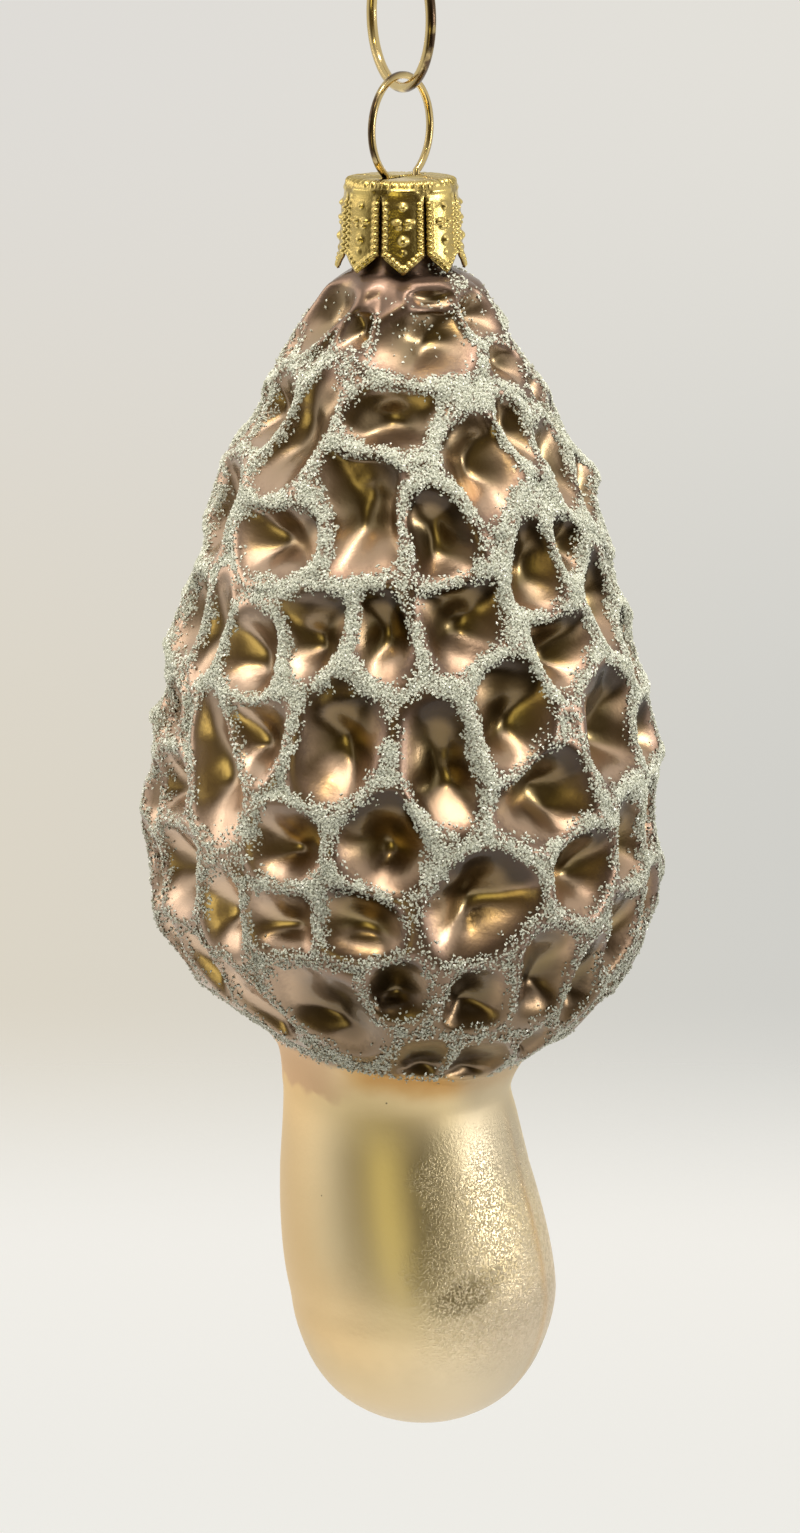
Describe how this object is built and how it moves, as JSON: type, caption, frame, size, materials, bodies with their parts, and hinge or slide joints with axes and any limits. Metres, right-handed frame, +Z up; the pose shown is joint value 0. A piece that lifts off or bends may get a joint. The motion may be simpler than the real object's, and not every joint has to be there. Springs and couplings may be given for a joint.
{
  "type": "morel mushroom glass ornament",
  "caption": "Hanging blown-glass tree ornament shaped like a morel: pitted cap, smooth stem, stamped gold crown, wire loop and hanging ring.",
  "frame": {"origin": "hang point, at the inside of the top of the hanging ring", "axes": "+Z up, -Y towards the front of the ornament, +X to its right as seen from the front"},
  "size_m": [0.0553, 0.0536, 0.1571],
  "materials": {
    "gold_ring": "polished gold-coloured wire",
    "gold_wire": "polished gold-coloured spring wire",
    "gold_crown": "stamped gold-coloured sheet metal, bright",
    "lacquered_glass": "silvered inside, satin copper-brown lacquer on the cap, pearl champagne on the stem, pale glass frost on the ridges"
  },
  "bodies": {
    "ring": {"hanging_ring": "gold_ring"},
    "ornament": {"wire_loop": "gold_wire", "crown_cap": "gold_crown", "glass_body": "lacquered_glass"}
  },
  "joints": [
    {"name": "ornament_swing", "type": "hinge", "parent": "ring", "child": "ornament", "pos_m": [0, 0, -0.0128], "axis": [-0.5501, -0.8351, 0], "range_deg": [-60, 60]}
  ]
}
